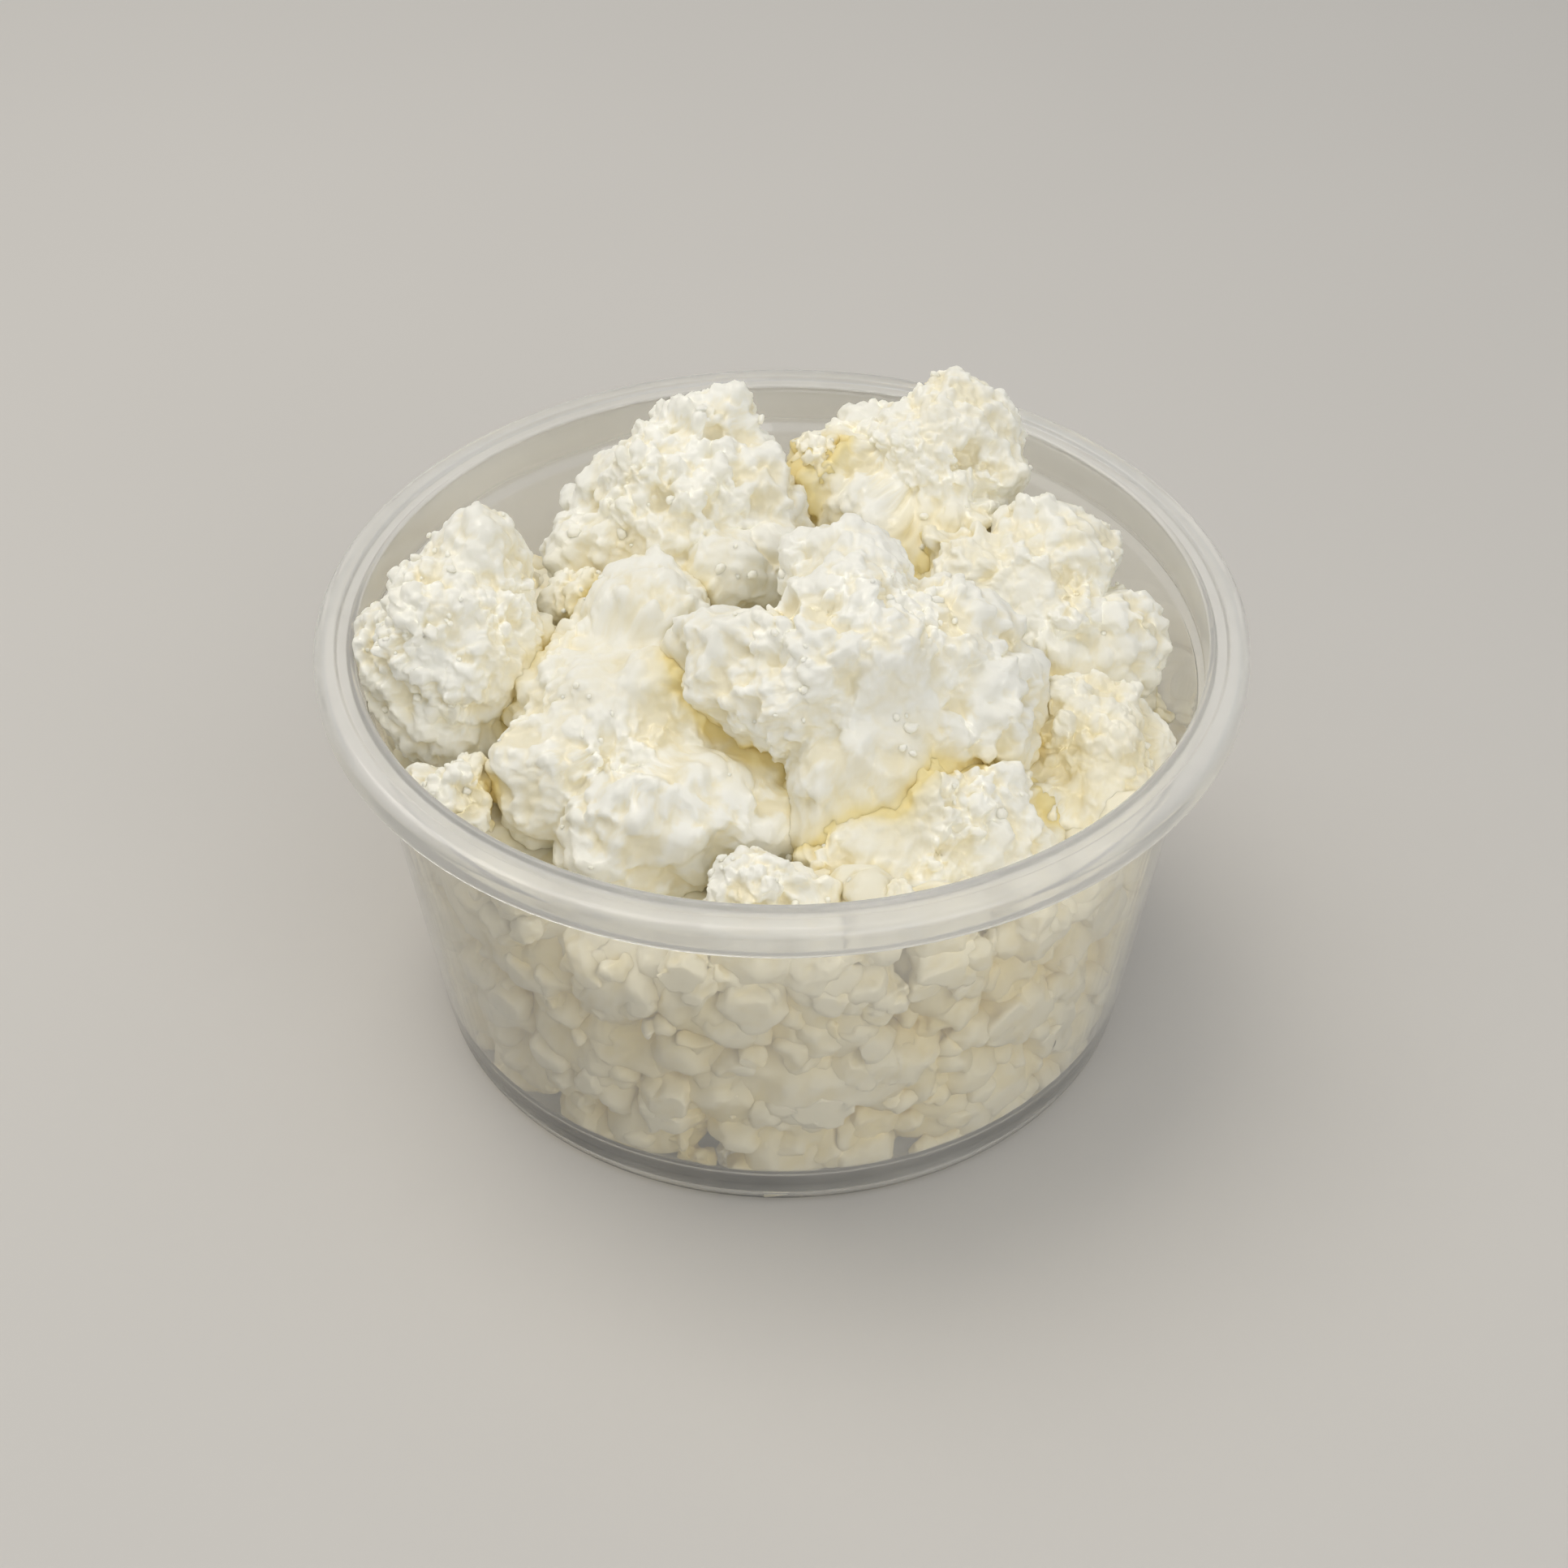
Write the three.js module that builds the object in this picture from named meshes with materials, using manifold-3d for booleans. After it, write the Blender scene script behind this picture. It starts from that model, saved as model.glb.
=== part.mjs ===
// A round deli tub of translucent polypropylene, heaped with crumbled feta.
//
// Millimetres, +Z up.  The origin is the middle of the tub's foot, on the tub's axis.
// -Y is the front.  The tub is one turned shell.  Large crumbs lie on top, each a solid
// of its own, and the crumbs that fill the tub below them are fused into one bed.

import * as THREE from 'three';
import { mergeVertices } from 'three/addons/utils/BufferGeometryUtils.js';
import Module from 'manifold-3d';

const wasm = await Module();
wasm.setup();

// ---------------------------------------------------------------- driving dimensions

const TUB_SEGMENTS = 60;

const RIM_RADIUS = 58.7;
const TUB_HEIGHT = 58;
const SKIN = 0.7;            // thickness of the moulded wall, floor and rim

const FOOT_RADIUS = 46.2;    // outside of the foot band
const FOOT_HEIGHT = 3.9;
const FOOT_CORNER = 1.8;     // rounding between the foot band and the ring it stands on
const RING_INNER_RADIUS = 39.5;
const FLOOR_LIFT = 1.2;      // the floor's middle is clear of the table by this much
const RING_SLOPE = 1;        // the foot ring's inner side leans by this much

const HEEL_RISE = 0.4;       // the step from the foot band out to the wall is this high
const WALL_FOOT_RADIUS = 46.7;
const WALL_TOP_RADIUS = 53.2;
const LEDGE_HEIGHT = 50.4;   // stacking ledge: the wall steps outwards above it
const LEDGE_RISE = 1.1;
const COLLAR_RADIUS = 54.2;  // outside of the wall between the ledge and the rim
const COLLAR_DRAFT = 0.1;    // the collar is narrower at its foot by this much

const SKIRT_DROP = 3.8;      // the rim's outer edge hangs down by this much
const SKIRT_DRAFT = 0.5;     // the skirt's inner side leans by this much
const BEAD_RADIUS = 1.4;     // rounding along the rim's outer edge
const LIP_RADIUS = 0.6;      // rounding along the rim's inner edge
const LIP_DROP = 0.1;        // the lip is lower than the bead by this much
const GROOVE_DEPTH = 0.5;    // between the bead and the lip

const CLEARANCE = 0.35;      // between the cheese and the tub
const CONTACT_GAP = 0.45;    // between two crumbs that touch

const LOBE_BLEND = 14;       // how sharply the lobes of a crumb meet; higher is sharper
const KNOB_SINK = 0.78;      // share of a knob's radius by which its middle lies under the face
const LEAN = 0.94;           // a pillow's distance from the axis, as a share of its crumb's

const FETA = { color: 0xf6f3e6, roughness: 0.62, metalness: 0 };
const POLYPROPYLENE = { color: 0xdcdcd6, roughness: 0.28, metalness: 0, opacity: 0.45, transparent: true };

// ------------------------------------------------------------------- small helpers

/** Points of a circular arc in the r-z plane, both ends included; angles in degrees. */
function arc(centreR, centreZ, radius, startDegrees, endDegrees, steps) {
  const points = [];
  for (let i = 0; i <= steps; i += 1) {
    const angle = THREE.MathUtils.degToRad(THREE.MathUtils.lerp(startDegrees, endDegrees, i / steps));
    points.push([centreR + radius * Math.cos(angle), centreZ + radius * Math.sin(angle)]);
  }
  return points;
}

/** Turns a profile of [r, z] points, given from the lower to the upper end, about Z. */
function turned(profile, segments) {
  const points = profile.map(([r, z]) => new THREE.Vector2(r, z));
  const geometry = new THREE.LatheGeometry(points, segments);
  geometry.rotateX(Math.PI / 2);
  return geometry;
}

/** The same geometry with nothing but positions, and each shared corner stored once. */
function welded(geometry) {
  geometry.deleteAttribute('normal');
  geometry.deleteAttribute('uv');
  return mergeVertices(geometry, 1e-4);
}

function toSolid(geometry) {
  const closed = welded(geometry);
  return new wasm.Manifold(new wasm.Mesh({
    numProp: 3,
    vertProperties: new Float32Array(closed.getAttribute('position').array),
    triVerts: new Uint32Array(closed.getIndex().array),
  }));
}

function toGeometry(solid) {
  const mesh = solid.getMesh();
  const geometry = new THREE.BufferGeometry();
  geometry.setAttribute('position', new THREE.BufferAttribute(mesh.vertProperties, 3));
  geometry.setIndex(new THREE.BufferAttribute(mesh.triVerts, 1));
  return geometry;
}

/** The largest of the bodies that a cut has left. */
function largestBody(solid) {
  const bodies = solid.decompose();
  return bodies.reduce((best, body) => (body.volume() > best.volume() ? body : best));
}

/** A repeatable number between 0 and 1, for the k-th draw of a seed. */
function draw(seed, k) {
  const x = Math.abs(Math.sin(k * 12.9898 + seed * 78.233)) * 43758.5453;
  return x - Math.floor(x);
}

// ----------------------------------------------------------------------------- tub

/** The outside of the tub, from the middle of the underside up to the rim's underside. */
function outerProfile() {
  const cornerR = FOOT_RADIUS - FOOT_CORNER;
  return [
    [0, FLOOR_LIFT],
    [RING_INNER_RADIUS - RING_SLOPE, FLOOR_LIFT],
    [RING_INNER_RADIUS, 0],
    ...arc(cornerR, FOOT_CORNER, FOOT_CORNER, -90, 0, 2),
    [FOOT_RADIUS, FOOT_HEIGHT],
    [WALL_FOOT_RADIUS, FOOT_HEIGHT + HEEL_RISE],
    [WALL_TOP_RADIUS, LEDGE_HEIGHT],
    [COLLAR_RADIUS - COLLAR_DRAFT, LEDGE_HEIGHT + LEDGE_RISE],
    [COLLAR_RADIUS, TUB_HEIGHT - SKIN - GROOVE_DEPTH],
  ];
}

/** The rim: out along its underside, round the skirt's edge and the bead, in to the lip. */
function rimProfile() {
  const skirtZ = TUB_HEIGHT - SKIRT_DROP;
  const skirtInnerR = RIM_RADIUS - SKIN;
  const beadR = RIM_RADIUS - BEAD_RADIUS;
  const lipR = COLLAR_RADIUS - SKIN + LIP_RADIUS;
  return [
    [skirtInnerR - SKIRT_DRAFT, TUB_HEIGHT - SKIN - GROOVE_DEPTH],
    [skirtInnerR, skirtZ],
    [RIM_RADIUS, skirtZ],
    ...arc(beadR, TUB_HEIGHT - BEAD_RADIUS, BEAD_RADIUS, 0, 90, 3),
    [beadR - BEAD_RADIUS, TUB_HEIGHT - GROOVE_DEPTH],
    ...arc(lipR, TUB_HEIGHT - LIP_DROP - LIP_RADIUS, LIP_RADIUS, 80, 180, 2),
  ];
}

/** The inside, down from the lip to the middle of the floor. */
function innerProfile() {
  return [
    [COLLAR_RADIUS - COLLAR_DRAFT - SKIN, LEDGE_HEIGHT + LEDGE_RISE + SKIN],
    [WALL_TOP_RADIUS - SKIN, LEDGE_HEIGHT + SKIN],
    [WALL_FOOT_RADIUS - SKIN, FOOT_HEIGHT + HEEL_RISE],
    [FOOT_RADIUS - SKIN, FOOT_CORNER + HEEL_RISE],
    [FOOT_RADIUS - FOOT_CORNER, SKIN],
    [RING_INNER_RADIUS + SKIN, SKIN],
    [RING_INNER_RADIUS - RING_SLOPE / 2, FLOOR_LIFT + SKIN],
    [0, FLOOR_LIFT + SKIN],
  ];
}

function tubGeometry() {
  return turned([...outerProfile(), ...rimProfile(), ...innerProfile()], TUB_SEGMENTS);
}

/** Inner radius of the tapered wall at a height; the taper is carried on above the ledge. */
function wallRadius(z) {
  const rise = (z - FOOT_HEIGHT) / (LEDGE_HEIGHT - FOOT_HEIGHT);
  return THREE.MathUtils.lerp(WALL_FOOT_RADIUS, WALL_TOP_RADIUS, rise) - SKIN;
}

/** How far a ray from a point inside the tub runs before it comes to the wall or floor. */
function roomReach(from, direction) {
  const radius = wallRadius(from.z) - CLEARANCE;
  const widening = wallRadius(from.z + direction.z) - wallRadius(from.z);
  const square = direction.x ** 2 + direction.y ** 2 - widening ** 2;
  const linear = from.x * direction.x + from.y * direction.y - radius * widening;
  const constant = from.x ** 2 + from.y ** 2 - radius ** 2;
  const toWall = square > 0
    ? (Math.sqrt(linear ** 2 - square * constant) - linear) / square
    : Infinity;
  const overMoat = Math.hypot(from.x, from.y) > RING_INNER_RADIUS;
  const floorZ = SKIN + (overMoat ? 0 : FLOOR_LIFT) + CLEARANCE;
  const toFloor = direction.z < 0 ? (floorZ - from.z) / direction.z : Infinity;
  return Math.min(toWall, toFloor);
}

// -------------------------------------------------------------------------- crumbs

/** How far a ray from the origin runs before it leaves a sphere; 0 where it misses. */
function exitDistance(direction, centre, radius) {
  const along = direction.dot(centre);
  const inside = radius * radius - centre.lengthSq() + along * along;
  return inside > 0 ? Math.max(0, along + Math.sqrt(inside)) : 0;
}

/** The joined reach of several lobes along a direction: a soft maximum of their exits. */
function reach(direction, lobes) {
  let sum = 0;
  for (const { centre, radius } of lobes) {
    sum += exitDistance(direction, centre, radius) ** LOBE_BLEND;
  }
  return sum ** (1 / LOBE_BLEND);
}

/** Small knobs strewn over a crumb, each sunk so that only its cap stands out. */
function knobs(lobes, { seed, knobCount, knobRadius }) {
  const list = [];
  for (let i = 0; i < knobCount; i += 1) {
    const z = 2 * draw(seed, 3 * i + 1) - 1;
    const turn = 2 * Math.PI * draw(seed, 3 * i + 2);
    const level = Math.sqrt(1 - z * z);
    const direction = new THREE.Vector3(level * Math.cos(turn), level * Math.sin(turn), z);
    const radius = knobRadius * (0.7 + 0.6 * draw(seed, 3 * i + 3));
    const depth = reach(direction, lobes) - KNOB_SINK * radius;
    list.push({ centre: direction.multiplyScalar(depth), radius });
  }
  return list;
}

/** A ball of faces about a middle, each corner pushed out to a distance or to the tub. */
function pushedOut(detail, middle, distanceAlong) {
  const geometry = welded(new THREE.IcosahedronGeometry(1, detail));
  const position = geometry.getAttribute('position');
  const direction = new THREE.Vector3();
  for (let i = 0; i < position.count; i += 1) {
    direction.fromBufferAttribute(position, i).normalize();
    const distance = Math.min(distanceAlong(direction), roomReach(middle, direction));
    direction.multiplyScalar(distance).add(middle);
    position.setXYZ(i, direction.x, direction.y, direction.z);
  }
  return geometry;
}

/**
 * A crumb, pushed out to its lobes and knobs, each lobe [x, y, z, radius].  The first
 * lobe's centre is the middle that the form is measured from.
 */
function crumbGeometry(crumb, extra = 0) {
  const middle = new THREE.Vector3(...crumb.lobes[0].slice(0, 3));
  const lobes = crumb.lobes.map(([x, y, z, radius]) => ({
    centre: new THREE.Vector3(x, y, z).sub(middle),
    radius,
  }));
  const bumps = [...lobes, ...knobs(lobes, crumb)];
  return pushedOut(crumb.detail, middle, (direction) => reach(direction, bumps) + extra);
}

// Sizes of crumb.  The pillow is the radius of the bed's swell that carries the crumb.
const LARGE = { detail: 4, knobCount: 12, knobRadius: 4.4, pillow: 9 };
const MEDIUM = { detail: 3, knobCount: 9, knobRadius: 3.8, pillow: 9 };
const SMALL = { detail: 2, knobCount: 5, knobRadius: 2.2, pillow: 6 };
const TINY = { detail: 1, knobCount: 3, knobRadius: 1.4, pillow: 4 };
const LOOSE = { detail: 1, knobCount: 3, knobRadius: 1.4, pillow: 0 };

// The crumbs that lie on top, the largest first.  Each keeps its whole form, and those
// that come after it are cut back where they press against it.  Two loose ones lie on the
// tub's floor.
const CRUMBS = [
  { name: 'chunk_center', seed: 4, ...LARGE, lobes: [
    [10, -14, 60.5, 12.8], [8, -5, 66.5, 7.6], [-6, -15, 62, 7.4], [19, -12, 63, 8.4],
    [24, -18, 56.5, 8.2], [12, -24, 55, 8.2], [0, -20, 60, 7.6], [17.5, -20, 56, 8.5],
    [7.5, -27, 53.5, 8], [12.5, -28, 52, 7.6], [7, -31, 50, 6.2]] },
  { name: 'chunk_peak', seed: 2, ...LARGE, lobes: [
    [-12.5, 19, 57.5, 13.2], [-9, 25, 67, 6.4], [-20, 21, 60.5, 7.2], [-4, 19, 62.5, 8],
    [-23, 14, 55.5, 6.2], [-6.5, 6, 59.5, 6.4], [-0.5, 10, 59.5, 5.5], [-17, 9, 54.5, 7.5]] },
  { name: 'chunk_left', seed: 1, ...LARGE, lobes: [
    [-41, -3, 56.5, 10.6], [-38.5, 3, 62.5, 7], [-40.5, -9, 50.5, 7], [-48.5, -5, 56.5, 4.9],
    [-44.5, -8, 51, 5], [-35.5, -3, 56.5, 5.4], [-37, -10, 47.5, 5.5]] },
  { name: 'chunk_back_right', seed: 3, ...LARGE, lobes: [
    [20, 27, 62.5, 8.8], [24, 29, 67, 6], [26, 26, 61.5, 5.4], [8, 25, 60.5, 7],
    [14.5, 24, 59.5, 6.2], [20.5, 20, 57.5, 7], [11.5, 18, 58.5, 6.6], [17.5, 14, 56.5, 6.4]] },
  { name: 'chunk_right', seed: 6, ...LARGE, lobes: [
    [32, 7, 54, 10], [37.5, 11, 59.5, 6.2], [43, 3, 52.5, 6.2], [24, 8, 58, 7],
    [33.5, -2, 50, 7], [39, 0, 49, 7]] },
  { name: 'chunk_front_left', seed: 5, ...LARGE, lobes: [
    [-20, -15, 49, 12.4], [-17.5, -2, 57.5, 8.2], [-17, -5, 53, 9.6], [-28, -23, 50.5, 8],
    [-18.5, -30, 48, 8.4], [-9.5, -28, 49, 8.8], [-25.5, -10, 51.5, 8], [-11.5, -14, 53, 8.4],
    [-23.5, -5, 53, 7], [-4, -21, 48.5, 7.5], [-3, -28, 46.5, 6.8], [-12, -31, 47.5, 5.8]] },
  { name: 'chunk_right_low', seed: 7, ...MEDIUM, lobes: [
    [37.5, -15, 48, 9], [43.5, -12, 46.5, 6.2], [31, -24, 45, 6.8], [37.5, -22, 45, 6.5]] },
  { name: 'chunk_under_center', seed: 8, ...MEDIUM, lobes: [
    [16, -30, 47, 10], [9.5, -35, 48.5, 7], [22.5, -29, 47.5, 8.5], [11.5, -38, 48, 5.2],
    [18, -35, 46, 5.8]] },
  { name: 'chunk_front_small', seed: 9, ...SMALL, lobes: [
    [-3, -44.5, 50.5, 5.2], [2, -44.5, 49.5, 4.6]] },
  { name: 'chunk_left_ball', seed: 10, ...SMALL, lobes: [
    [-39, -26, 50, 4.2], [-43.5, -23.5, 50, 3]] },
  { name: 'crumb_back', seed: 11, ...LOOSE, lobes: [[5, 24, 65.5, 2.9]] },
  { name: 'crumb_left_gap', seed: 12, ...LOOSE, lobes: [[-25.5, 4, 57.5, 3.4]] },
  { name: 'crumb_front', seed: 13, ...TINY, lobes: [[9.5, -44, 50.5, 2.7]] },
  { name: 'crumb_front_small', seed: 14, ...TINY, lobes: [[13.5, -46, 51.5, 2.1]] },
  { name: 'floor_crumb_left', seed: 15, ...LOOSE, lobes: [[-6, -41.3, 3, 1.9]] },
  { name: 'floor_crumb_right', seed: 16, ...LOOSE, lobes: [[2.4, -43, 2.8, 1.7]] },
];

// ----------------------------------------------------------------------------- bed

// Crumbs against the wall, in rings from the floor up: the height of the ring's middle,
// how many crumbs it has, their middle radius, and the turn of the first, in degrees.
const BED_RINGS = [
  { height: 9.5, count: 13, radius: 7.2, turn: -113 },
  { height: 23, count: 14, radius: 7.8, turn: -99 },
  { height: 36, count: 14, radius: 7.6, turn: -88 },
];
const BED_DETAIL = 11;
const BED_MIDDLE = 27;       // height of the point that the bed's form is measured from
const BED_CORE = { radius: 40, bottom: 5, top: 43 };
const BED_UNEVENNESS = 0.2;  // share by which a crumb's size and its place in the ring wander
const BED_WANDER = 1.5;      // by how much a crumb's height wanders
const WALL_PRESS = 0.6;      // by how much a crumb is squashed flat against the wall
const PILLOW_OVERLAP = 0.55; // share of a pillow's radius that stands up into its crumb

// Mounds of the bed between the crumbs on top, so that no deep hole is left.
const MOUNDS = [
  [0, -6, 37, 17], [-18, -8, 36, 15], [17, -14, 35, 15], [-16, 10, 36, 15], [14, 13, 37, 14],
  [28, 2, 36, 12],
];

/** The crumbs of one ring, as lobes. */
function ringLobes({ height, count, radius, turn }, ringIndex) {
  const lobes = [];
  for (let i = 0; i < count; i += 1) {
    const seed = 100 * (ringIndex + 1) + i;
    const size = radius * (1 + BED_UNEVENNESS * (2 * draw(seed, 7) - 1));
    const step = (360 / count) * (i + BED_UNEVENNESS * (2 * draw(seed, 8) - 1));
    const angle = THREE.MathUtils.degToRad(turn + step);
    const wander = BED_WANDER * (2 * draw(seed, 9) - 1);
    const z = Math.max(height + wander, FLOOR_LIFT + SKIN + size);
    const centreR = wallRadius(z) - size + WALL_PRESS;
    lobes.push([centreR * Math.cos(angle), centreR * Math.sin(angle), z, size]);
  }
  return lobes;
}

/** Swells of the bed that reach up under the crumbs on top and carry them, as lobes. */
function pillowLobes() {
  return CRUMBS.filter(({ pillow }) => pillow > 0).map(({ lobes, pillow }) => {
    const [x, y, z, radius] = lobes[0];
    return [LEAN * x, LEAN * y, z - radius - (1 - PILLOW_OVERLAP) * pillow, pillow];
  });
}

/** How far the bed's inner mass, an upright round block, reaches along a direction. */
function coreReach(direction) {
  const side = BED_CORE.radius / Math.max(1e-6, Math.hypot(direction.x, direction.y));
  const height = direction.z > 0 ? BED_CORE.top - BED_MIDDLE : BED_MIDDLE - BED_CORE.bottom;
  return Math.min(side, height / Math.max(1e-6, Math.abs(direction.z)));
}

/** The bed: one ball of faces pushed out to the core, rings, pillows and mounds. */
function bedGeometry() {
  const middle = new THREE.Vector3(0, 0, BED_MIDDLE);
  const swells = [...BED_RINGS.flatMap(ringLobes), ...pillowLobes(), ...MOUNDS];
  const lobes = swells.map(([x, y, z, radius]) => ({
    centre: new THREE.Vector3(x, y, z).sub(middle),
    radius,
  }));
  return pushedOut(BED_DETAIL, middle, (direction) => (
    Math.max(coreReach(direction), reach(direction, lobes))
  ));
}

// ------------------------------------------------------------------------ assembly

const filledTub = new THREE.Group();
const polypropylene = new THREE.MeshStandardMaterial(POLYPROPYLENE);
const feta = new THREE.MeshStandardMaterial(FETA);

function addPiece(name, geometry, material) {
  const mesh = new THREE.Mesh(geometry, material);
  mesh.name = name;
  filledTub.add(mesh);
}

addPiece('tub', welded(tubGeometry()), polypropylene);

let taken = null;
for (const crumb of CRUMBS) {
  const whole = toSolid(crumbGeometry(crumb));
  const fitted = taken ? largestBody(whole.subtract(taken)) : whole;
  addPiece(crumb.name, toGeometry(fitted), feta);
  const grown = toSolid(crumbGeometry(crumb, CONTACT_GAP));
  taken = taken ? taken.add(grown) : grown;
}
const bed = toSolid(bedGeometry()).subtract(taken);
addPiece('feta_bed', toGeometry(largestBody(bed)), feta);

export default filledTub;
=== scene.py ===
"""A round deli tub of translucent polypropylene, heaped with crumbled feta.

Lengths in this script are millimetres until a surface becomes a Blender mesh, which is in
metres.  +Z is up, the origin is the middle of the tub's foot, and -Y is the front.
Every crumb is one closed surface: a ball of grid points, pushed out to a few round lobes,
then broken and covered with curd grains of falling size.
"""
from functools import lru_cache

import bpy
import numpy as np
from mathutils import Matrix, Vector


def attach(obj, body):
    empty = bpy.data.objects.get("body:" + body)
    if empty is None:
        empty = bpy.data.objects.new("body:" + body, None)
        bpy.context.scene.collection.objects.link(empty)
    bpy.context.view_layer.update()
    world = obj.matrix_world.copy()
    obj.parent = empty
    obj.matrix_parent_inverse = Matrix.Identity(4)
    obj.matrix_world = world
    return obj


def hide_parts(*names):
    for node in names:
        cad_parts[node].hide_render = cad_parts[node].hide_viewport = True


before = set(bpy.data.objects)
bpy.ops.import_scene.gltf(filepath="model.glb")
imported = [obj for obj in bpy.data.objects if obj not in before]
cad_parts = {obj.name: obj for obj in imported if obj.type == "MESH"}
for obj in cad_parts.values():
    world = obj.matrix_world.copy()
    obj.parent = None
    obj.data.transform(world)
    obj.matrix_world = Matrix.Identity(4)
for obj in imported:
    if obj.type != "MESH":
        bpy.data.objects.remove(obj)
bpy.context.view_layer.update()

METRE = 0.001  # one millimetre, in metres

# ------------------------------------------------------------------ sizes of the tub

RIM_RADIUS = 58.7
TUB_HEIGHT = 58.0
SKIN = 0.7
FOOT_RADIUS = 46.2
FOOT_HEIGHT = 3.9
RING_INNER_RADIUS = 39.5
FLOOR_LIFT = 1.2
WALL_FOOT_RADIUS = 46.7
WALL_TOP_RADIUS = 53.2
LEDGE_HEIGHT = 50.4
LEDGE_RISE = 1.1
COLLAR_RADIUS = 54.2
SKIRT_DROP = 3.8
RIM_DROP = 1.2       # from the rim's top to its underside
GROOVE_DROP = 0.55   # from the rim's top to the groove in it
BEAD_DROP = 0.05     # from the rim's top to the bead inside the groove
MOST_OF_SIDE = 0.48  # the most of a side of the section that a rounding may take
TUB_STRETCH = 3.0    # the longest stretch of the section between two rings of points
TUB_SEGMENTS = 288

# --------------------------------------------------------------- sizes of the crumbs

LOBE_BLEND = 14    # the power of the mean that joins lobes
KNOB_SINK = 0.78   # share of a knob's radius that is sunk into its crumb
KNOB_LEAST, KNOB_RANGE = 0.7, 0.6  # a knob's radius, as shares of its crumb's
CLEARANCE = 0.12   # between the cheese and the tub
LEAN = 0.94        # how far out a swell of the bed lies, as a share of its crumb's place

# Grid steps along each of a crumb's six patches, its knobs, and the radius of the bed's
# swell under it.
LARGE = dict(steps=88, knobs=12, knob_radius=4.4, pillow=9.0)
MEDIUM = dict(steps=84, knobs=9, knob_radius=3.8, pillow=9.0)
SMALL = dict(steps=44, knobs=5, knob_radius=2.2, pillow=6.0)
TINY = dict(steps=28, knobs=3, knob_radius=1.4, pillow=4.0)
LOOSE = dict(steps=28, knobs=3, knob_radius=1.4, pillow=0.0)

# The same lobes as the solids have: x, y, z and radius.  The first is the crumb's middle.
CRUMBS = {
    "chunk_center": dict(seed=4, **LARGE, lobes=[
        (10, -14, 60.5, 12.8), (8, -5, 66.5, 7.6), (-6, -15, 62, 7.4), (19, -12, 63, 8.4),
        (24, -18, 56.5, 8.2), (12, -24, 55, 8.2), (0, -20, 60, 7.6), (17.5, -20, 56, 8.5),
        (7.5, -27, 53.5, 8), (12.5, -28, 52, 7.6), (7, -31, 50, 6.2)]),
    "chunk_peak": dict(seed=2, **LARGE, lobes=[
        (-12.5, 19, 57.5, 13.2), (-9, 25, 67, 6.4), (-20, 21, 60.5, 7.2), (-4, 19, 62.5, 8),
        (-23, 14, 55.5, 6.2), (-6.5, 6, 59.5, 6.4), (-0.5, 10, 59.5, 5.5),
        (-17, 9, 54.5, 7.5)]),
    "chunk_left": dict(seed=1, **LARGE, lobes=[
        (-41, -3, 56.5, 10.6), (-38.5, 3, 62.5, 7), (-40.5, -9, 50.5, 7),
        (-48.5, -5, 56.5, 4.9), (-44.5, -8, 51, 5), (-35.5, -3, 56.5, 5.4),
        (-37, -10, 47.5, 5.5)]),
    "chunk_back_right": dict(seed=3, **LARGE, lobes=[
        (20, 27, 62.5, 8.8), (24, 29, 67, 6), (26, 26, 61.5, 5.4), (8, 25, 60.5, 7),
        (14.5, 24, 59.5, 6.2), (20.5, 20, 57.5, 7), (11.5, 18, 58.5, 6.6),
        (17.5, 14, 56.5, 6.4)]),
    "chunk_right": dict(seed=6, **LARGE, lobes=[
        (32, 7, 54, 10), (37.5, 11, 59.5, 6.2), (43, 3, 52.5, 6.2), (24, 8, 58, 7),
        (33.5, -2, 50, 7), (39, 0, 49, 7)]),
    "chunk_front_left": dict(seed=5, **LARGE, lobes=[
        (-20, -15, 49, 12.4), (-17.5, -2, 57.5, 8.2), (-17, -5, 53, 9.6),
        (-28, -23, 50.5, 8), (-18.5, -30, 48, 8.4), (-9.5, -28, 49, 8.8),
        (-25.5, -10, 51.5, 8), (-11.5, -14, 53, 8.4), (-23.5, -5, 53, 7),
        (-4, -21, 48.5, 7.5), (-3, -28, 46.5, 6.8), (-12, -31, 47.5, 5.8)]),
    "chunk_right_low": dict(seed=7, **MEDIUM, lobes=[
        (37.5, -15, 48, 9), (43.5, -12, 46.5, 6.2), (31, -24, 45, 6.8), (37.5, -22, 45, 6.5)]),
    "chunk_under_center": dict(seed=8, **MEDIUM, lobes=[
        (16, -30, 47, 10), (9.5, -35, 48.5, 7), (22.5, -29, 47.5, 8.5), (11.5, -38, 48, 5.2),
        (18, -35, 46, 5.8)]),
    "chunk_front_small": dict(seed=9, **SMALL, lobes=[
        (-3, -44.5, 50.5, 5.2), (2, -44.5, 49.5, 4.6)]),
    "chunk_left_ball": dict(seed=10, **SMALL, lobes=[
        (-39, -26, 50, 4.2), (-43.5, -23.5, 50, 3)]),
    "crumb_back": dict(seed=11, **LOOSE, lobes=[(5, 24, 65.5, 2.9)]),
    "crumb_left_gap": dict(seed=12, **LOOSE, lobes=[(-25.5, 4, 57.5, 3.4)]),
    "crumb_front": dict(seed=13, **TINY, lobes=[(9.5, -44, 50.5, 2.7)]),
    "crumb_front_small": dict(seed=14, **TINY, lobes=[(13.5, -46, 51.5, 2.1)]),
    "floor_crumb_left": dict(seed=15, **LOOSE, lobes=[(-6, -41.3, 3, 1.9)]),
    "floor_crumb_right": dict(seed=16, **LOOSE, lobes=[(2.4, -43, 2.8, 1.7)]),
}

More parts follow.
